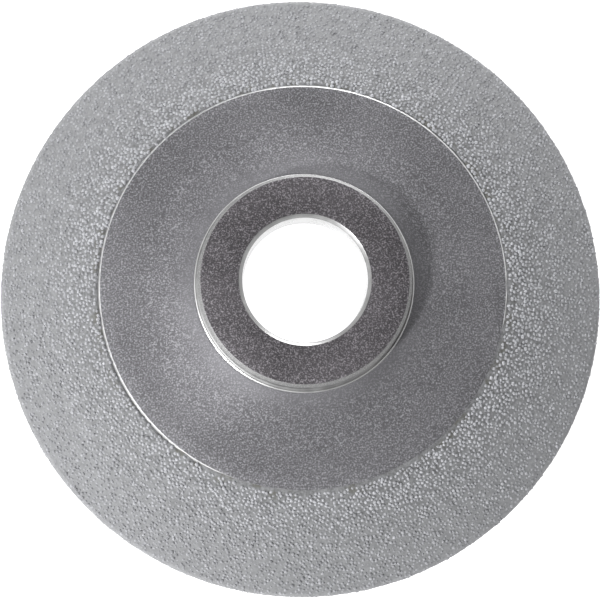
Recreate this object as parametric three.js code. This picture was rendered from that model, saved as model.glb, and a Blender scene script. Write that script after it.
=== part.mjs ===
// Carving disc for an angle grinder: a dished steel plate with a turned hub boss and
// carbide grit brazed to its cutting band. Millimetres; +Z is the spindle axis, pointing to
// the grinder, and Z = 0 is the lowest point of the rim.
import * as THREE from 'three';

// Driving dimensions, mm
const rimRadius = 57.5;          // over the grit: a 115 mm disc
const boreRadius = 11.115;       // 22.23 mm spindle flange bore
const bossRadius = 19;
const bossTop = 14.5;            // hub face that the grinder's flange bears on
const bossChamfer = 0.6;
const boreChamfer = 0.6;
const spigotRadius = 15;         // reduced end of the hub, pressed through the plate
const nutSeatZ = 8.1;            // underside face for the lock nut
const nutSeatRadius = 22;
const bossFootZ = 10.6;          // plate top under the hub's shoulder
const bossFootRadius = 19.9;
const footFillet = 0.9;          // braze run round the boss foot
const webTopZ = 9.25;
const webFlatRadius = 28;        // the web is level from here to the grit
const gritInnerRadius = 37.5;
const shoulderChamfer = 0.4;
const plateThickness = 2;
const coneAngle = THREE.MathUtils.degToRad(18);
const bondThickness = 0.22;
const grainHeight = 0.38;        // tallest grain above the braze
const fitGap = 0.01;             // between the grit crust and the braze under it
const underBandWidth = 6;        // grit carried round onto the hollow side

// Divisions
const segments = 60;
const gritSegments = 120;
const riseSteps = 5;
const gritPitch = 1.5;           // row spacing of the grit crust, along the cone

// Cone frame: unit vector square to the cone's outer face, and the centre of the rim's round
const normal = [Math.sin(coneAngle), Math.cos(coneAngle)];
const downhill = [Math.cos(coneAngle), -Math.sin(coneAngle)];
const edgeRadius = plateThickness / 2;
const coatThickness = bondThickness + grainHeight;
const edgeCentre = [rimRadius - coatThickness - edgeRadius, edgeRadius + coatThickness];
const edgeStart = -Math.PI / 2 - coneAngle;
const edgeEnd = Math.PI / 2 - coneAngle;
// Stations round the rim, among them its lowest point and its widest
const edgeTurns = [edgeStart, -Math.PI / 2, -Math.PI / 4, 0, edgeEnd / 2, edgeEnd];

const steel = new THREE.MeshStandardMaterial({ color: 0x84848a, roughness: 0.55, metalness: 0.9 });
const hubSteel = new THREE.MeshStandardMaterial({ color: 0x6c696f, roughness: 0.5, metalness: 0.9 });
const braze = new THREE.MeshStandardMaterial({ color: 0x7d7a76, roughness: 0.5, metalness: 0.8 });
const carbide = new THREE.MeshStandardMaterial({ color: 0x9c9c9f, roughness: 0.6, metalness: 0.5 });
carbide.flatShading = true;

const disc = new THREE.Group();
disc.name = 'carving_disc';

// A closed body swept round Z. rows run anticlockwise round its cross-section, radius to the
// right and Z up; place(row, i) gives the [radius, z] of that row's point on meridian i.
function addRing(name, rows, material, count = segments, place = (row) => row) {
  const positions = [];
  const faces = [];
  for (let i = 0; i < count; i += 1) {
    const angle = (i / count) * Math.PI * 2;
    const next = (i + 1) % count;
    rows.forEach((row, j) => {
      const [radius, z, turn = 0] = place(row, i, j);
      const at = angle + turn;
      positions.push(radius * Math.cos(at), radius * Math.sin(at), z);
      const up = (j + 1) % rows.length;
      const corners = [i, next].map((k) => [k * rows.length + j, k * rows.length + up]);
      const [[a, b], [d, c]] = corners;
      if ((i + j) % 2 === 0) {
        faces.push(a, d, b, d, c, b);
      } else {
        faces.push(a, d, c, a, c, b);
      }
    });
  }
  const geometry = new THREE.BufferGeometry();
  geometry.setAttribute('position', new THREE.Float32BufferAttribute(positions, 3));
  geometry.setIndex(faces);
  geometry.computeVertexNormals();
  const mesh = new THREE.Mesh(geometry, material.clone());
  mesh.name = name;
  disc.add(mesh);
}

const along = (from, distance) => from.map((v, k) => v + downhill[k] * distance);
const offset = (from, distance) => from.map((v, k) => v + normal[k] * distance);

function edgePoint(angle, radius) {
  return [
    edgeCentre[0] + radius * Math.cos(angle),
    edgeCentre[1] + radius * Math.sin(angle),
  ];
}

const edgeArc = (radius) => edgeTurns.map((angle) => edgePoint(angle, radius));

// Plate: cone, level web, a concave rise to the boss foot, and a turned shoulder where the
// coat starts
const topEdge = edgePoint(edgeEnd, edgeRadius);
const bottomEdge = edgePoint(edgeStart, edgeRadius);
const coneRun = (topEdge[0] - gritInnerRadius) / Math.cos(coneAngle);
const seat = along(topEdge, -coneRun);

function addDishPlate() {
  const rise = [];
  for (let k = 0; k <= riseSteps; k += 1) {
    const u = k / riseSteps;
    const radius = THREE.MathUtils.lerp(webFlatRadius, bossFootRadius, u);
    rise.push([radius, webTopZ + (bossFootZ - webTopZ) * u * u]);
  }
  const webUnderZ = webTopZ - plateThickness;
  const bendRadius = bottomEdge[0] - (webUnderZ - bottomEdge[1]) / Math.tan(coneAngle);
  const bendEnd = along([bendRadius, webUnderZ], 1.4);
  addRing('dish_plate', [
    [spigotRadius, nutSeatZ],
    [nutSeatRadius, nutSeatZ],
    [nutSeatRadius + 2, nutSeatZ - 0.28],
    [nutSeatRadius + 4.4, webUnderZ + 0.1],
    [nutSeatRadius + 6.4, webUnderZ],
    [bendRadius - 1.4, webUnderZ],
    [bendRadius, webUnderZ - 0.2],
    bendEnd,
    ...edgeArc(edgeRadius),
    seat,
    [gritInnerRadius, webTopZ - shoulderChamfer],
    [gritInnerRadius - shoulderChamfer, webTopZ],
    ...rise,
    [spigotRadius, bossFootZ],
  ], steel);
}

// Hub: a collar standing on the plate, its spigot filling the plate's hole down to the seat
function addHub() {
  addRing('hub_boss', [
    [boreRadius, nutSeatZ + 0.4],
    [boreRadius + 0.4, nutSeatZ],
    [spigotRadius, nutSeatZ],
    [spigotRadius, bossFootZ],
    [bossRadius, bossFootZ],
    [bossRadius, bossTop - bossChamfer],
    [bossRadius - bossChamfer, bossTop],
    [boreRadius + boreChamfer, bossTop],
    [boreRadius, bossTop - boreChamfer],
  ], hubSteel);

  const fillet = [[bossRadius, bossFootZ]];
  for (let k = 0; k <= 3; k += 1) {
    const angle = -Math.PI / 2 - (k / 3) * (Math.PI / 2);
    fillet.push([
      bossRadius + footFillet * (1 + Math.cos(angle)),
      bossFootZ + footFillet * (1 + Math.sin(angle)),
    ]);
  }
  addRing('hub_braze_fillet', fillet, braze);
}

// Braze film over the cutting band, the rim and the start of the hollow side
const underInner = along(bottomEdge, -underBandWidth);
const seatLift = bondThickness / Math.cos(coneAngle);

function addBraze() {
  const bondEdge = edgeRadius + bondThickness;
  addRing('top_braze_bond', [
    seat,
    topEdge,
    edgePoint(edgeEnd, bondEdge),
    [seat[0], seat[1] + seatLift],
  ], braze);
  addRing('rim_braze_bond', [
    ...edgeArc(bondEdge),
    ...edgeArc(edgeRadius).reverse(),
  ], braze);
  addRing('under_braze_bond', [
    underInner,
    offset(underInner, -bondThickness),
    edgePoint(edgeStart, bondEdge),
    bottomEdge,
  ], braze);
}

// Grit: carbide grains standing in the braze, as a faceted crust with one knot per grain
// cluster. Heights come from a hash of the knot's place, so the crust is the same every time.
function hash(i, j, salt) {
  const s = Math.sin(i * 127.1 + j * 311.7 + salt * 74.7) * 43758.5453;
  return s - Math.floor(s);
}

// The braze below is a 60-sided ring, so the crust's base sits on its flats
function onFlat(radius, i) {
  const step = (Math.PI * 2) / segments;
  const angle = ((i / gritSegments) * Math.PI * 2) % step;
  return (radius * Math.cos(step / 2)) / Math.cos(angle - step / 2);
}

function addGrit(name, path, salt) {
  const crust = path.map((knot, k) => ({
    ...knot,
    edge: k === 0 || k === path.length - 1,
    crust: true,
  }));
  const base = path.filter((knot) => knot.corner).reverse();
  addRing(name, [...crust, ...base], carbide, gritSegments, (knot, i, j) => {
    let lift = fitGap;
    let turn = 0;
    if (knot.crust) {
      const grain = hash(i, j, salt);
      lift += knot.edge ? 0.12 : 0.05 + (grainHeight - 0.06) * grain;
      turn = knot.edge ? 0 : (hash(i, j, salt + 9) - 0.5) * 0.016;
    }
    return [
      onFlat(knot.at[0], i) + knot.normal[0] * lift,
      knot.at[1] + knot.normal[1] * lift,
      turn,
    ];
  });
}

function straightPath(from, to, facing) {
  const length = Math.hypot(to[0] - from[0], to[1] - from[1]);
  const steps = Math.round(length / gritPitch);
  const path = [];
  for (let k = 0; k <= steps; k += 1) {
    const shift = k > 0 && k < steps ? (hash(k, 3, 5) - 0.5) * 0.3 : 0;
    const u = (k + shift) / steps;
    path.push({
      at: from.map((v, n) => THREE.MathUtils.lerp(v, to[n], u)),
      normal: facing,
      corner: k === 0 || k === steps,
    });
  }
  return path;
}

function addGritBands() {
  const bondEdge = edgeRadius + bondThickness;
  const bondTop = edgePoint(edgeEnd, bondEdge);
  const bondBottom = edgePoint(edgeStart, bondEdge);
  const inset = 0.25 / Math.cos(coneAngle);
  const topInner = along([seat[0], seat[1] + seatLift], inset);
  const down = normal.map((v) => -v);
  const rim = edgeTurns.map((angle) => ({
    at: edgePoint(angle, bondEdge),
    normal: [Math.cos(angle), Math.sin(angle)],
    corner: true,
  }));
  addGrit('top_grit', straightPath(bondTop, topInner, normal), 1);
  addGrit('rim_grit', rim, 2);
  const underStart = offset(along(underInner, 0.25), -bondThickness);
  addGrit('under_grit', straightPath(underStart, bondBottom, down), 3);
}

addDishPlate();
addHub();
addBraze();
addGritBands();

export default disc;
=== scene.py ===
import bpy
import math
import numpy as np
from mathutils import Matrix, Vector


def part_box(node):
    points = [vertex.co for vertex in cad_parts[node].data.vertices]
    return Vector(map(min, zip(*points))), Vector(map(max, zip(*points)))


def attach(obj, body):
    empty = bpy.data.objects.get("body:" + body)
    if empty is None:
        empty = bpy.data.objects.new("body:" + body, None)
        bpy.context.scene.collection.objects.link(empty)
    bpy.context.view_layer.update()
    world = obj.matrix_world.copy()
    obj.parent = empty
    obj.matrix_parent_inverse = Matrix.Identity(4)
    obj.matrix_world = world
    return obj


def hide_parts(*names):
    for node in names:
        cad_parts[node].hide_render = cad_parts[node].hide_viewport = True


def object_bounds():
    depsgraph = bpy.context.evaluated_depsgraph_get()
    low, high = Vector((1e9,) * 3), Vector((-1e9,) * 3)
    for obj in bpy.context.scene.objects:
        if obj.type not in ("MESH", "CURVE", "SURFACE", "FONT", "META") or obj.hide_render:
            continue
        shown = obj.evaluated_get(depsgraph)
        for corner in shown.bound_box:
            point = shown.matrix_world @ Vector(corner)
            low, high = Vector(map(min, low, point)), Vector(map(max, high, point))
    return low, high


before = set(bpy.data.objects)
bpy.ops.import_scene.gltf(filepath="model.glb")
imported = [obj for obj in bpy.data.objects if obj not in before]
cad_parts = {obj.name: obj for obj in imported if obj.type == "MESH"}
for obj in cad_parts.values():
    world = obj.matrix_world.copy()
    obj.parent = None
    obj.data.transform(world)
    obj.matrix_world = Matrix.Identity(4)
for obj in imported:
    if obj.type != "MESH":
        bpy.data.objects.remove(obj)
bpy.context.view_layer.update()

mm = 0.001
fullTurn = 6.283  # radians
fineness = 1.0  # share of the full number of divisions
fewestDivisions = 48
sharpAngle = math.radians(28)  # a sharper bend is shaded as an edge


def boxOf(node):  # radius, lowest and highest point of a round node, in mm
    low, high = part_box(node)
    return high.x / mm, low.z / mm, high.z / mm


def divisions(around):
    return max(fewestDivisions, int(around * fineness))


def anglesOf(count):  # evenly round the axis
    return np.arange(count) * 2 * math.pi / count


def stand(name, data):  # a new object in the scene
    obj = bpy.data.objects.new(name, data)
    bpy.context.scene.collection.objects.link(obj)
    return obj


class Wire:  # one output socket, with arithmetic that adds Math nodes
    def __init__(self, desk, socket):
        self.desk = desk
        self.socket = socket

    def math(self, operation, *values):
        return self.desk.add("ShaderNodeMath", {"operation": operation}, list(values))

    def __add__(self, other):
        return self.math("ADD", self, other)

    def __sub__(self, other):
        return self.math("SUBTRACT", self, other)

    def __rsub__(self, other):
        return self.math("SUBTRACT", other, self)

    def __mul__(self, other):
        return self.math("MULTIPLY", self, other)

    def __truediv__(self, other):
        return self.math("DIVIDE", self, other)

    __radd__ = __add__
    __rmul__ = __mul__

    def power(self, exponent):
        return self.math("POWER", self, exponent)

    def between(self, low, high):  # 0 at low, 1 at high, smooth and clamped
        return self.desk.add("ShaderNodeMapRange", {"interpolation_type": "SMOOTHSTEP"},
                             {"Value": self, "From Min": low, "From Max": high})

    def drawnOut(self):  # the middle of a noise's range, made to run from 0 to 1
        return self.between(0.3, 0.7)


class Desk:  # a node tree that is being laid out
    def __init__(self, tree):
        self.tree = tree
        tree.nodes.clear()

    def add(self, kind, settings=None, inputs=None, output=0):
        node = self.tree.nodes.new(kind)
        for key, value in (settings or {}).items():
            setattr(node, key, value)
        pairs = inputs.items() if isinstance(inputs, dict) else enumerate(inputs or [])
        for key, value in pairs:
            socket = self.find(node.inputs, key)
            if isinstance(value, Wire):
                self.tree.links.new(value.socket, socket)
            else:
                socket.default_value = value
        if not len(node.outputs):
            return node
        return Wire(self, self.find(node.outputs, output))

    @staticmethod
    def find(sockets, key):
        if isinstance(key, int):
            return sockets[key]
        return next(s for s in sockets if s.name == key and s.enabled)

    def fromAxis(self, place):  # distance from the spindle axis, in m
        flat = self.add("ShaderNodeVectorMath", {"operation": "MULTIPLY"}, [place, (1, 1, 0)])
        return self.add("ShaderNodeVectorMath", {"operation": "LENGTH"}, [flat], output="Value")


class Finish(Desk):  # a material, its place on the piece, and the usual patterns
    def __init__(self, name):
        self.material = bpy.data.materials.new(name)
        self.material.use_nodes = True
        super().__init__(self.material.node_tree)
        self.place = self.add("ShaderNodeTexCoord", output="Object")

    def noise(self, size, detail=2.0, rough=0.5):  # size of a feature in mm
        return self.add("ShaderNodeTexNoise", {}, {
            "Vector": self.place, "Scale": 1 / (size * mm), "Detail": detail,
            "Roughness": rough})

    def mixed(self, share, first, second):
        return self.add("ShaderNodeMix", {"data_type": "RGBA"}, {
            "Factor": share, "A": first, "B": second}, output="Result")

    def bump(self, height, depth, strength=1.0):  # depth in mm
        return self.add("ShaderNodeBump", {}, {
            "Height": height, "Distance": depth * mm, "Strength": strength})

    def radius(self):  # distance from the spindle axis, in mm
        return self.fromAxis(self.place) / mm

    def close(self, **values):
        names = {key.replace("_", " "): value for key, value in values.items()}
        shader = self.add("ShaderNodeBsdfPrincipled", {}, names)
        self.add("ShaderNodeOutputMaterial", {}, {"Surface": shader})
        return self.material


def grey(level, tint=(1, 1, 1)):
    return tuple(level * t for t in tint) + (1,)


blasted = {
    "pit": 0.3,  # size of one blasting pit, mm
    "dark": grey(0.178, (1.0, 0.99, 1.05)),
    "light": grey(0.68, (1.0, 0.99, 1.05)),
    "glint": 2.2,  # how rare the bright pits are: partly the steel's own pitted tone, partly painted glints in the colour
    "metal": 0.75,
    "roughness": 0.56,
    "depth": 0.024,
    "calm": (18.0, 26.0),  # the pitting fades between these radii, towards the boss
    "faintest": 0.2,  # share of it that is left there
    "rest": 0.2,  # tone that it fades to
}


def blastedSteel(name, look):
    f = Finish(name)
    pitRange, pitRoughness = (0.3, 0.74), 0.25
    cloudSize, cloudShare = 14, 0.1
    pits = f.noise(look["pit"], 3.0, 0.6)
    cloud = f.noise(cloudSize)
    # bright specks in the colour: partly the steel's own pitted tone, partly painted glints that
    # stand in for sparkle
    pitToneAndGlints = pits.between(*pitRange).power(look["glint"]) * (1 - cloudShare)
    share = 1.0
    if "calm" in look:
        share = f.radius().between(*look["calm"]) * (1 - look["faintest"]) + look["faintest"]
        pitToneAndGlints = (pitToneAndGlints - look["rest"]) * share + look["rest"]
    tone = pitToneAndGlints + cloud.drawnOut() * cloudShare
    colour = f.mixed(tone, look["dark"], look["light"])
    roughness = look["roughness"] + (pits - 0.5) * pitRoughness
    normal = f.bump(pits, look["depth"], share)
    return f.close(Base_Color=colour, Metallic=look["metal"], Roughness=roughness, Normal=normal)


hubFinish = {
    "pit": 0.27,
    "dark": grey(0.135, (1.03, 0.97, 1.04)),
    "light": grey(0.72, (1.03, 0.97, 1.04)),
    "glint": 2.6,
    "metal": 0.8,
    "roughness": 0.46,
    "depth": 0.045,
}

turned = {
    "groove": 0.11,  # spacing of the tool marks, mm
    "dark": grey(0.3),
    "light": grey(0.5),
    "roughness": 0.3,
    "depth": 0.006,
}

reamed = {**turned, "dark": grey(0.5), "light": grey(0.72), "roughness": 0.2}
wallTurned = {**turned, "dark": grey(0.25), "light": grey(0.42), "roughness": 0.5}
toeLook = {**turned, "dark": grey(0.65), "light": grey(0.85), "roughness": 0.36}
shoulderLook = {**turned, "dark": grey(0.7), "light": grey(0.95), "roughness": 0.32}
chamferLook = {**hubFinish, "pit": 0.2, "glint": 2.2, "metal": 0.75, "roughness": 0.56,
                "dark": grey(0.25), "light": grey(0.5), "depth": 0.01}


def turnedSteel(name, look):
    f = Finish(name)
    stainSize, stainShare, stainRoughness = 2.5, 0.5, 0.15
    height = f.add("ShaderNodeSeparateXYZ", {}, [f.place], output="Z") / mm
    across = f.radius() / look["groove"]
    along = height / look["groove"]
    grooves = f.add("ShaderNodeCombineXYZ", {}, [across, along, 0.0])
    marks = f.add("ShaderNodeTexNoise", {}, {"Vector": grooves, "Scale": 1.0, "Detail": 1.0})
    stain = f.noise(stainSize, 3.0, 0.6)
    tone = marks.drawnOut() * (1 - stainShare) + stain.drawnOut() * stainShare
    colour = f.mixed(tone, look["dark"], look["light"])
    roughness = look["roughness"] + stain * stainRoughness
    return f.close(Base_Color=colour, Metallic=1.0, Roughness=roughness,
                   Normal=f.bump(marks, look["depth"]))


brazeLook = {
    "lump": 0.5,  # size of a lump in the filler metal, mm
    "lumpRange": (0.32, 0.68),
    "soot": 1.7,  # size of a stain, mm
    "sootShare": 0.35,
    "dark": grey(0.18, (0.99, 1.0, 1.02)),
    "light": grey(0.4, (0.99, 1.0, 1.03)),
    "worn": grey(0.42, (0.99, 1.0, 1.03)),
    "wornShare": 0.5,
    "wear": (37.0, 52.0),  # worn even from the first of these radii to the second
    "metal": 0.3,
    "roughness": 0.7,
    "lumpRoughness": 0.2,
    "depth": 0.05,
    "flux": (0.12, 0.115, 0.08, 1),  # burnt flux left in patches at the coat's inner edge
    "fluxRadii": (38.0, 39.8),
    "fluxSize": 2.4,  # size of a patch, mm
    "fluxRange": (0.5, 0.66),
    "fluxShare": 0.5,
}


def brazeMetal(name, look):
    f = Finish(name)
    lumps = f.noise(look["lump"], 3.0, 0.55)
    soot = f.noise(look["soot"], 3.0, 0.6)
    sootShare = look["sootShare"]
    tone = lumps.between(*look["lumpRange"]) * (1 - sootShare) + soot.drawnOut() * sootShare
    colour = f.mixed(tone, look["dark"], look["light"])
    wear = f.radius().between(*look["wear"]) * look["wornShare"]
    colour = f.mixed(wear, colour, look["worn"])
    inside = 1 - f.radius().between(*look["fluxRadii"])
    flux = inside * f.noise(look["fluxSize"]).between(*look["fluxRange"])
    colour = f.mixed(flux * look["fluxShare"], colour, look["flux"])
    return f.close(Base_Color=colour, Metallic=look["metal"],
                   Roughness=look["roughness"] + lumps * look["lumpRoughness"],
                   Normal=f.bump(lumps, look["depth"]))


gritLook = {
    "skin": 0.16,  # size of the mottling on one grain, mm
    "clump": 1.7,  # size of a patch of like grains, mm
    "ownShare": 0.42,  # of the grain's own tone
    "skinShare": 0.33,
    "clumpShare": 0.25,
    "dark": grey(0.3, (0.98, 0.99, 1.04)),
    "light": grey(0.68, (0.98, 0.99, 1.04)),
    "roughness": 0.68,
    "skinRoughness": 0.2,
    "depth": 0.005,
    "metal": 0.0,
    "shine": 0.4,
    "wear": (38.0, 52.0),  # the grains grow darker from the first radius to the second
    "wornTone": 0.25,  # by this much
}


def gritMetal(name, look):
    f = Finish(name)
    own = f.add("ShaderNodeAttribute", {"attribute_name": "grainTone"}, output="Fac")
    skin = f.noise(look["skin"])
    clump = f.noise(look["clump"])
    tone = own * look["ownShare"] + skin.drawnOut() * look["skinShare"]
    tone = tone + clump.drawnOut() * look["clumpShare"]
    tone = tone - f.radius().between(*look["wear"]) * look["wornTone"]
    colour = f.mixed(tone, look["dark"], look["light"])
    return f.close(Base_Color=colour, Metallic=look["metal"],
                   Roughness=look["roughness"] + skin * look["skinRoughness"],
                   Specular_IOR_Level=look["shine"], Normal=f.bump(skin, look["depth"]))


plateSteel = blastedSteel("blastedSteel", blasted)
hubSteel = blastedSteel("hubFaceSteel", hubFinish)
bareSteel = turnedSteel("turnedSteel", turned)
boreSteel = turnedSteel("reamedSteel", reamed)
wallSteel = turnedSteel("wallSteel", wallTurned)
toeSteel = turnedSteel("toeSteel", toeLook)
shoulderSteel = turnedSteel("shoulderSteel", shoulderLook)
chamferSteel = blastedSteel("chamferSteel", chamferLook)
brazeFilm = brazeMetal("brazeFilm", brazeLook)
carbide = gritMetal("carbideGrit", gritLook)
print("finishes made")


def roundCorners(points):
    # points are (radius, z, finish[, corner rounding]) in mm, round a closed section
    steps = 3
    out = []
    for k, point in enumerate(points):
        here = np.array(point[:2])
        size = point[3] if len(point) > 3 else 0
        if not size:
            out.append((*here, point[2]))
            continue
        before = np.array(points[k - 1][:2]) - here
        after = np.array(points[(k + 1) % len(points)][:2]) - here
        before /= np.linalg.norm(before)
        after /= np.linalg.norm(after)
        half = math.acos(np.clip(before @ after, -1, 1)) / 2
        reach = size / math.tan(half)
        middle = (before + after) / np.linalg.norm(before + after) * size / math.sin(half)
        start = before * reach - middle
        end = after * reach - middle
        for s in range(steps + 1):
            arm = start * (1 - s / steps) + end * (s / steps)
            arm *= size / np.linalg.norm(arm)
            finish = points[k - 1][2] if s == 0 else point[2]
            out.append((*(here + middle + arm), finish))
    return out


def turnSection(name, section, finishes, around, wander=None):
    # sweeps a closed section, anticlockwise with radius to the right, round the axis
    count = divisions(around)
    angles = anglesOf(count)
    rows = np.array([p[:2] for p in section], float)
    radius = np.repeat(rows[None, :, 0], count, 0)
    height = np.repeat(rows[None, :, 1], count, 0)
    if wander is not None:
        radius, height = wander(radius, height)
    points = np.stack([radius * np.cos(angles)[:, None], radius * np.sin(angles)[:, None],
                       height], 2).reshape(-1, 3) * mm
    n = len(section)
    j = np.arange(n)
    i = np.arange(count)[:, None]
    here, nextRow = i * n + j, i * n + (j + 1) % n
    side, sideNext = (i + 1) % count * n + j, (i + 1) % count * n + (j + 1) % n
    faces = np.stack([here, side, sideNext, nextRow], 2).reshape(-1, 4)
    mesh = bpy.data.meshes.new(name)
    mesh.from_pydata(points.tolist(), [], faces.tolist())
    slots = np.tile([p[2] for p in section], count).astype(np.int32)
    mesh.polygons.foreach_set("material_index", slots)
    for finish in finishes:
        mesh.materials.append(finish)
    mesh.shade_smooth()
    mesh.set_sharp_from_angle(angle=sharpAngle)
    return stand(name, mesh)


def settle(piece, slot, *nodes):
    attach(piece, "root")
    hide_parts(*nodes)


def curve(start, bend, end, steps):  # points on a soft bend, without the last
    start, bend, end = (np.array(p, float) for p in (start, bend, end))
    shares = np.arange(steps) / steps
    return [tuple(start * (1 - u) ** 2 + bend * 2 * u * (1 - u) + end * u * u) for u in shares]


def withFinish(points, finish):
    return [(*p, finish) for p in points]


plate = {
    "cone": math.radians(18),
    "thickness": 2.0,
    "spigot": 15.0,  # radius of the hub's end in the plate's hole
    "nutSeat": 22.0,
    "seatEdge": 0.15,  # rounding of the seat's edge
    "fallStart": 23.0,  # past the seat the hollow side falls away in a soft bend
    "fallDepth": 0.12,
    "fallBend": 25.6,
    "fallEnd": 28.6,
    "bendReach": 1.8,  # how far the bend into the cone reaches, each way
    "webTop": 9.25,
    "webFlat": 34.0,  # the web rises softly from here to the boss foot
    "webFoot": 19.9,
    "coatInner": 37.5,
    "shoulder": 0.5,
    "breakEdge": 0.05,  # rounding of the shoulder's two edges
    "around": 360,
}

bossRadius, nutSeatZ, bossTop = boxOf("hub_boss")
plateRadius, plateLow, footZ = boxOf("dish_plate")
rimRadius = boxOf("rim_grit")[0]
square = np.array([math.sin(plate["cone"]), math.cos(plate["cone"])])
downhill = np.array([math.cos(plate["cone"]), -math.sin(plate["cone"])])
edgeRound = plate["thickness"] / 2
edgeCentre = np.array([plateRadius - edgeRound, plateLow + edgeRound])
edgeStart = -math.pi / 2 - plate["cone"]
edgeEnd = math.pi / 2 - plate["cone"]


def edgePoint(angle, radius):
    return edgeCentre + radius * np.array([math.cos(angle), math.sin(angle)])


def edgeArc(radius, steps):
    return [tuple(edgePoint(edgeStart + (edgeEnd - edgeStart) * k / steps, radius))
            for k in range(steps + 1)]


topEdge = edgePoint(edgeEnd, edgeRound)
bottomEdge = edgePoint(edgeStart, edgeRound)
seat = topEdge - downhill * (topEdge[0] - plate["coatInner"]) / math.cos(plate["cone"])
print("sizes", rimRadius, bossRadius, nutSeatZ, bossTop, footZ, edgeCentre, seat)


def makePlate():
    p = plate
    blastedFace, turnedFace, brightFace = 0, 1, 2
    webUnder = p["webTop"] - p["thickness"]
    bendRadius = bottomEdge[0] - (webUnder - bottomEdge[1]) / math.tan(p["cone"])
    bend = np.array([bendRadius, webUnder])
    bendStart = (bendRadius - p["bendReach"], webUnder)
    bendEnd = bend + downhill * p["bendReach"]
    fallSteps, bendSteps, edgeSteps, riseSteps = 8, 6, 12, 24
    fall = curve((p["fallStart"], nutSeatZ - p["fallDepth"]), (p["fallBend"], webUnder),
                 (p["fallEnd"], webUnder), fallSteps)
    rise = [(p["webFlat"] + (p["webFoot"] - p["webFlat"]) * u,
             p["webTop"] + (footZ - p["webTop"]) * u * u)
            for u in np.arange(riseSteps + 1) / riseSteps]
    section = [(p["spigot"], nutSeatZ, turnedFace),
               (p["nutSeat"], nutSeatZ, blastedFace, p["seatEdge"])]
    section += withFinish(fall, blastedFace)
    section += withFinish(curve(bendStart, bend, bendEnd, bendSteps), blastedFace)
    section += withFinish([bendEnd] + edgeArc(edgeRound, edgeSteps), blastedFace)
    section += [(*seat, turnedFace),
                (p["coatInner"], p["webTop"] - p["shoulder"], brightFace, p["breakEdge"]),
                (p["coatInner"] - p["shoulder"], p["webTop"], blastedFace, p["breakEdge"])]
    section += withFinish(rise, blastedFace)
    section += [(p["spigot"], footZ, turnedFace)]
    finishes = [plateSteel, bareSteel, shoulderSteel]
    piece = turnSection("dishPlate", roundCorners(section), finishes, p["around"])
    settle(piece, "blasted_steel", "dish_plate")


hub = {
    "bore": 11.115,
    "boreChamfer": 0.6,
    "outerChamfer": 0.6,
    "lowerChamfer": 0.4,
    "breakEdge": 0.07,  # rounding where two turned faces meet
    "footFillet": 0.68,  # reach of the concave braze run at the foot
    "hollowShare": 0.96,  # reach of its hollow, as a share of that
    "hollowDip": 0.03,  # how far the hollow's edge dips below the toe's top
    "sunk": 0.02,  # how far it reaches down into the plate
    "toe": 0.25,  # width of the dressed bevel along its toe
    "toeSlope": math.radians(27),
    "around": 288,
}


def makeHub():
    h = hub
    flangeFace, turnedFace, boreFace, wallFace, chamferFace = 0, 1, 2, 3, 4
    chamfer, edge = h["outerChamfer"], h["breakEdge"]
    section = [
        (h["bore"], nutSeatZ + h["lowerChamfer"], turnedFace, edge),
        (h["bore"] + h["lowerChamfer"], nutSeatZ, turnedFace, edge),
        (plate["spigot"], nutSeatZ, turnedFace),
        (plate["spigot"], footZ, turnedFace),
        (bossRadius, footZ, wallFace),
        (bossRadius, bossTop - chamfer, chamferFace, edge),
        (bossRadius - chamfer, bossTop, flangeFace, edge),
        (h["bore"] + h["boreChamfer"], bossTop, turnedFace, edge),
        (h["bore"], bossTop - h["boreChamfer"], boreFace, edge),
    ]
    finishes = [hubSteel, bareSteel, boreSteel, wallSteel, chamferSteel]
    piece = turnSection("hubBoss", roundCorners(section), finishes, h["around"])
    settle(piece, "hub_steel", "hub_boss")


def makeFootBraze():
    h = hub
    runFace, toeFace, arcSteps = 0, 1, 8
    size, toe, share = h["footFillet"], h["toe"], h["hollowShare"]
    step = toe * math.tan(h["toeSlope"])
    root = footZ - h["sunk"]
    run = [(bossRadius, root, runFace), (bossRadius + size + toe, root, toeFace),
           (bossRadius + size, footZ + step, runFace)]
    for k in range(arcSteps + 1):
        turn = -math.pi / 2 - k / arcSteps * math.pi / 2
        run.append((bossRadius + size * (share + share * math.cos(turn)),
                    footZ + step - h["hollowDip"] + size * (1 + math.sin(turn)), runFace))
    piece = turnSection("bossFootBraze", run, [wallSteel, toeSteel], h["around"])
    settle(piece, "braze", "hub_braze_fillet")


makePlate()
makeHub()
makeFootBraze()
print("steel turned")

film = {
    "thickness": 0.36,
    "waviness": 0.035,  # how unevenly the filler metal has run, mm
    "mostWaves": 2,  # no lump stands out by more than this times the waviness
    "step": 0.6,
    "arcSteps": 8,
    "around": 480,
    "innerMargin": 0.4,  # the film slopes down to the plate over this
    "underBand": 6.0,  # width of the coat on the hollow side
    "creepSide": math.radians(300),  # where the filler has run furthest up the shoulder
    "creepReach": 1.8,  # how far round it has run
    "creepLoss": 0.3,
    "creepMost": 0.97,  # share of the shoulder's height
    "creepLift": 0.03,
    "creepWaves": (2, 5, 9, 17, 29, 43, 61),  # waves round the disc
    "creepCalm": 9,  # what these are divided by
    "seed": 11,
}
filmEdge = edgeRound + film["thickness"]
underInner = bottomEdge - downhill * film["underBand"]
topInner = seat + np.array([0, film["thickness"] / math.cos(plate["cone"])])


def straight(start, end, step):
    count = max(1, round(float(np.linalg.norm(end - start)) / step))
    return [tuple(start + (end - start) * k / count) for k in range(count + 1)]


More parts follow.
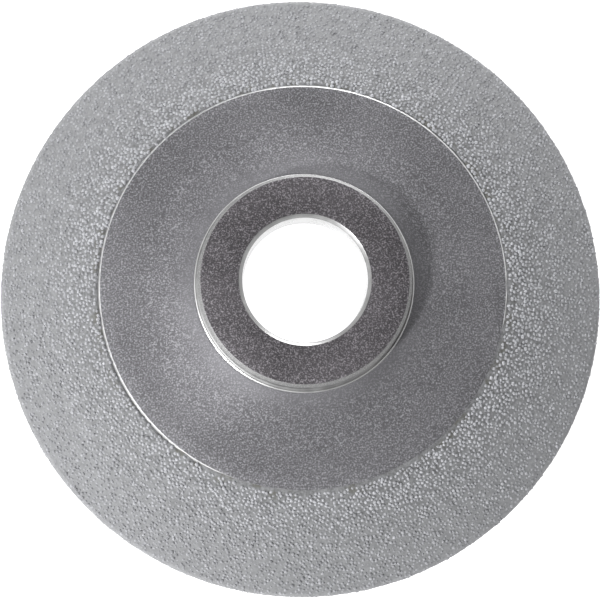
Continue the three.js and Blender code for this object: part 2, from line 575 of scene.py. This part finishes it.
def makeFilm():
    rng = np.random.default_rng(film["seed"])
    angles = anglesOf(divisions(film["around"]))
    waves = sum(np.cos(n * angles + rng.uniform(0, fullTurn)) for n in film["creepWaves"])
    creep = film["creepReach"] * np.cos(angles - film["creepSide"]) - film["creepLoss"]
    creep = np.clip(creep + waves / film["creepCalm"], 0, film["creepMost"]) * plate["shoulder"]

    def makeRing(name, node, outside, inside, facing):
        section = withFinish(outside + inside, 0)
        rows = len(outside)

        def wander(radius, height):
            lift = rng.normal(0, film["waviness"], (radius.shape[0], rows - 2))
            most = film["mostWaves"] * film["waviness"]
            lift = np.clip(lift, -most, most)
            radius[:, 1:rows - 1] += lift * facing[1:-1, 0]
            height[:, 1:rows - 1] += lift * facing[1:-1, 1]
            if node == "top_braze_bond":
                radius[:, rows - 1] -= creep
                height[:, rows - 1] += creep + film["creepLift"]
            return radius, height

        piece = turnSection(name, section, [brazeFilm], film["around"], wander)
        settle(piece, "braze", node)

    steps = film["arcSteps"]
    outside = straight(edgePoint(edgeEnd, filmEdge), topInner + downhill * film["innerMargin"],
                       film["step"])
    outside.append((plate["coatInner"], plate["webTop"] - plate["shoulder"]))
    makeRing("topBraze", "top_braze_bond", outside, [tuple(seat), tuple(topEdge)],
             np.tile(square, (len(outside), 1)))
    outside = edgeArc(filmEdge, steps)
    turns = edgeStart + (edgeEnd - edgeStart) * np.arange(steps + 1) / steps
    makeRing("rimBraze", "rim_braze_bond", outside, edgeArc(edgeRound, steps)[::-1],
             np.stack([np.cos(turns), np.sin(turns)], 1))
    outside = straight(underInner - square * film["thickness"], edgePoint(edgeStart, filmEdge),
                       film["step"])
    makeRing("underBraze", "under_braze_bond", outside, [tuple(bottomEdge), tuple(underInner)],
             np.tile(-square, (len(outside), 1)))


makeFilm()
print("braze film run")

grit = {
    "spacing": 0.55,  # least distance between grains, mm
    "grain": 0.46,  # radius of a grain at the coat's inner edge, mm
    "rimShare": 1.08,  # a grain's size at the rim, as a share of that
    "squash": 0.64,  # a grain is scaled each way by between this share
    "swell": 1.12,  # and this
    "jag": 0.1,  # how far a grain's corners are knocked about, mm
    "jagScale": 2600.0,  # how quickly that changes from place to place
    "density": 9e6,  # grains per square metre before the spacing thins them
    "sink": 0.18,  # depth of a grain's centre in the film at the coat's inner edge, mm
    "outerSink": 0.26,  # where the band meets the rim
    "rimSink": 0.33,
    "innerMargin": 0.25,  # between the coat's inner edge and the first grains
    "underMargin": 0.35,  # and on the hollow side
    "split": 0.52,  # where the band's two pieces meet, as a share of its width
    "arcSteps": 10,
    "bandAround": 180,
    "seed": 7,
    "seedStep": 10,
}


def gritTree():
    tree = bpy.data.node_groups.new("scatterGrit", "GeometryNodeTree")
    face = tree.interface
    face.new_socket("Surface", in_out="INPUT", socket_type="NodeSocketGeometry")
    for name in ("Spacing", "Grain", "Squash", "Jag", "Coarse Radius", "Rim Radius", "Rim Share"):
        face.new_socket(name, in_out="INPUT", socket_type="NodeSocketFloat")
    face.new_socket("Seed", in_out="INPUT", socket_type="NodeSocketInt")
    face.new_socket("Finish", in_out="INPUT", socket_type="NodeSocketMaterial")
    face.new_socket("Grit", in_out="OUTPUT", socket_type="NodeSocketGeometry")
    d = Desk(tree)
    given = tree.nodes.new("NodeGroupInput")

    def take(name):
        return Wire(d, Desk.find(given.outputs, name))

    def chance(kind, low, high, salt):
        return d.add("FunctionNodeRandomValue", {"data_type": kind},
                     {"Min": low, "Max": high, "Seed": take("Seed") + salt}, output="Value")

    points = d.add("GeometryNodeDistributePointsOnFaces", {"distribute_method": "POISSON"}, {
        "Mesh": take("Surface"), "Distance Min": take("Spacing"),
        "Density Max": grit["density"], "Seed": take("Seed")}, output="Points")
    grain = d.add("GeometryNodeMeshIcoSphere", {}, {"Radius": take("Grain"), "Subdivisions": 1},
                  output="Mesh")
    place = d.add("GeometryNodeInputPosition", output="Position")
    radius = d.fromAxis(place)
    share = d.add("ShaderNodeMapRange", {}, {
        "Value": radius, "From Min": take("Coarse Radius"), "From Max": take("Rim Radius"),
        "To Min": 1.0, "To Max": take("Rim Share")})
    least, most = share * take("Squash"), share * grit["swell"]
    small = d.add("ShaderNodeCombineXYZ", {}, [least, least, least])
    large = d.add("ShaderNodeCombineXYZ", {}, [most, most, most])
    standing = d.add("GeometryNodeInstanceOnPoints", {}, {
        "Points": points, "Instance": grain,
        "Rotation": chance("FLOAT_VECTOR", (0, 0, 0), (fullTurn, fullTurn, fullTurn), 1),
        "Scale": chance("FLOAT_VECTOR", small, large, 2)}, output="Instances")
    toned = d.add("GeometryNodeStoreNamedAttribute", {"data_type": "FLOAT", "domain": "INSTANCE"}, {
        "Geometry": standing, "Name": "grainTone", "Value": chance("FLOAT", 0.0, 1.0, 3)},
        output="Geometry")
    real = d.add("GeometryNodeRealizeInstances", {}, {"Geometry": toned}, output="Geometry")
    shake = d.add("ShaderNodeTexNoise", {}, {
        "Vector": place, "Scale": grit["jagScale"], "Detail": 1.0}, output="Color")
    shake = d.add("ShaderNodeVectorMath", {"operation": "SUBTRACT"}, [shake, (0.5, 0.5, 0.5)],
                  output="Vector")
    shake = d.add("ShaderNodeVectorMath", {"operation": "SCALE"},
                  {"Vector": shake, "Scale": take("Jag") * 2}, output="Vector")
    rough = d.add("GeometryNodeSetPosition", {}, {"Geometry": real, "Offset": shake},
                  output="Geometry")
    smooth = d.add("GeometryNodeSetShadeSmooth", {}, {"Geometry": rough, "Shade Smooth": True},
                   output="Geometry")
    done = d.add("GeometryNodeSetMaterial", {}, {"Geometry": smooth, "Material": take("Finish")},
                 output="Geometry")
    d.add("NodeGroupOutput", {}, {"Grit": done})
    return tree


def strip(points):  # an open band of quads round the axis, faces outward
    around = grit["bandAround"]
    angles = anglesOf(around)
    rows = np.array(points, float) * mm
    verts = np.stack([rows[None, :, 0] * np.cos(angles)[:, None],
                      rows[None, :, 0] * np.sin(angles)[:, None],
                      np.repeat(rows[None, :, 1], around, 0)], 2).reshape(-1, 3)
    n = len(points)
    faces = [(i * n + j, (i + 1) % around * n + j, (i + 1) % around * n + j + 1, i * n + j + 1)
             for i in range(around) for j in range(n - 1)]
    mesh = bpy.data.meshes.new("band")
    mesh.from_pydata(verts.tolist(), [], faces)
    return mesh


def scatterGrit(name, band, tree, seed):
    helper = stand("bandHelper", strip(band))
    modifier = helper.modifiers.new("grit", "NODES")
    modifier.node_group = tree
    values = {"Spacing": grit["spacing"] * mm, "Grain": grit["grain"] * mm,
              "Squash": grit["squash"], "Jag": grit["jag"] * mm,
              "Coarse Radius": plate["coatInner"] * mm, "Rim Radius": rimRadius * mm,
              "Rim Share": grit["rimShare"], "Seed": seed, "Finish": carbide}
    for item in tree.interface.items_tree:
        if item.in_out == "INPUT" and item.name in values:
            modifier[item.identifier] = values[item.name]
    seen = helper.evaluated_get(bpy.context.evaluated_depsgraph_get())
    mesh = bpy.data.meshes.new_from_object(seen)
    helper.modifiers.clear()
    bpy.data.objects.remove(helper)
    mesh.name = name
    print(name, len(mesh.polygons), "faces")
    return stand(name, mesh)


def makeGrit():
    g = grit
    tree = gritTree()
    inner = topInner + downhill * g["innerMargin"] - square * g["sink"]
    outer = edgePoint(edgeEnd, filmEdge - g["outerSink"])
    middle = inner + (outer - inner) * g["split"]
    underDepth = film["thickness"] - g["sink"]
    underStart = underInner + downhill * g["underMargin"] - square * underDepth
    underEnd = edgePoint(edgeStart, filmEdge - g["outerSink"])
    bands = [
        ("topGritInner", [middle, inner], "top_grit"),
        ("topGritOuter", [outer, middle], "top_grit"),
        ("rimGrit", edgeArc(filmEdge - g["rimSink"], g["arcSteps"]), "rim_grit"),
        ("underGrit", [underStart, underEnd], "under_grit"),
    ]
    for k, (name, band, node) in enumerate(bands):
        piece = scatterGrit(name, band, tree, g["seed"] + g["seedStep"] * k)
        settle(piece, "carbide_grit", node)


makeGrit()
print("grit scattered")

paper = {  # the pale floor
    "tone": 0.7,
    "roughness": 0.8,
    "glow": 1.0,
    "gap": 0.02,  # below the disc, mm
    "half": 1500,  # half its width, mm
}


def makeFloor():
    f = Finish("paleFloor")
    material = f.close(Base_Color=grey(paper["tone"]), Roughness=paper["roughness"],
                       Emission_Color=grey(1.0), Emission_Strength=paper["glow"])
    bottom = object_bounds()[0].z - paper["gap"] * mm
    half = paper["half"] * mm
    mesh = bpy.data.meshes.new("floor")
    mesh.from_pydata([(-half, -half, bottom), (half, -half, bottom), (half, half, bottom),
                      (-half, half, bottom)], [], [(0, 1, 2, 3)])
    mesh.materials.append(material)
    stand("floor", mesh)


def aim(obj, place, target):  # mm; looks at the target with +Y up
    place, target = Vector(place) * mm, Vector(target) * mm
    ahead = (target - place).normalized()
    side = ahead.cross(Vector((0, 1, 0))).normalized()
    obj.matrix_world = Matrix((side, side.cross(ahead), -ahead)).transposed().to_4x4()
    obj.location = place


lamps = {  # azimuth from +X towards +Y, elevation, distance and size in mm, power in watts
    "keyLamp": {"azimuth": 217, "elevation": 37, "distance": 800, "size": 110, "power": 5.9},
    "topPanel": {"azimuth": 78, "elevation": 12, "distance": 900, "size": 600, "power": 7.6},
}
lampTarget = (0, 0, 8)

sky = {
    "azimuth": 200,  # the bright side of the room
    "elevation": 20,
    "sideRange": (-0.1, 1.0),  # how squarely a direction faces that side, from dim to bright
    "dim": 0.08,
    "bright": 0.42,
    "overhead": 0.65,  # how much darker it is straight above
    "overheadRange": (0.78, 0.99),  # height of a direction there, as a sine
    "horizon": 1.05,  # pale paper all round, low down
    "horizonRange": (0.2, 0.42),
}

view = {  # mm
    "lens": 48.73,
    "sensor": 36,
    "near": 5,
    "place": (-4.84, -19.06, 155.95),
    "target": (-0.582, -2.29, 1.6),
}


def towards(azimuth, elevation):
    turn, rise = math.radians(azimuth), math.radians(elevation)
    return Vector((math.cos(turn) * math.cos(rise), math.sin(turn) * math.cos(rise),
                   math.sin(rise)))


def makeLamp(name, look):
    lamp = bpy.data.lights.new(name, "AREA")
    lamp.shape = "DISK"
    lamp.size = look["size"] * mm
    lamp.energy = look["power"]
    place = towards(look["azimuth"], look["elevation"]) * look["distance"]
    aim(stand(name, lamp), place, lampTarget)


def makeSky():
    world = bpy.data.worlds.new("studio")
    world.use_nodes = True
    d = Desk(world.node_tree)
    way = d.add("ShaderNodeTexCoord", output="Generated")
    facing = d.add("ShaderNodeVectorMath", {"operation": "DOT_PRODUCT"},
                   [way, towards(sky["azimuth"], sky["elevation"])], output="Value")
    height = d.add("ShaderNodeSeparateXYZ", {}, [way], output="Z")
    level = facing.between(*sky["sideRange"]) * (sky["bright"] - sky["dim"]) + sky["dim"]
    level = level * (1 - height.between(*sky["overheadRange"]) * sky["overhead"])
    level = level + (sky["horizon"] - level) * (1 - height.between(*sky["horizonRange"]))
    glow = d.add("ShaderNodeBackground", {}, {"Color": grey(1.0), "Strength": level})
    d.add("ShaderNodeOutputWorld", {}, {"Surface": glow})
    bpy.context.scene.world = world


def makeCamera():
    lens = bpy.data.cameras.new("camera")
    lens.lens = view["lens"]
    lens.sensor_width = view["sensor"]
    lens.clip_start = view["near"] * mm
    camera = stand("camera", lens)
    aim(camera, view["place"], view["target"])
    bpy.context.scene.camera = camera


makeFloor()
bpy.context.scene.view_settings.view_transform = "Standard"
bpy.context.scene.view_settings.look = "None"
makeSky()
for lampName, lampLook in lamps.items():
    makeLamp(lampName, lampLook)
makeCamera()
print("studio set")
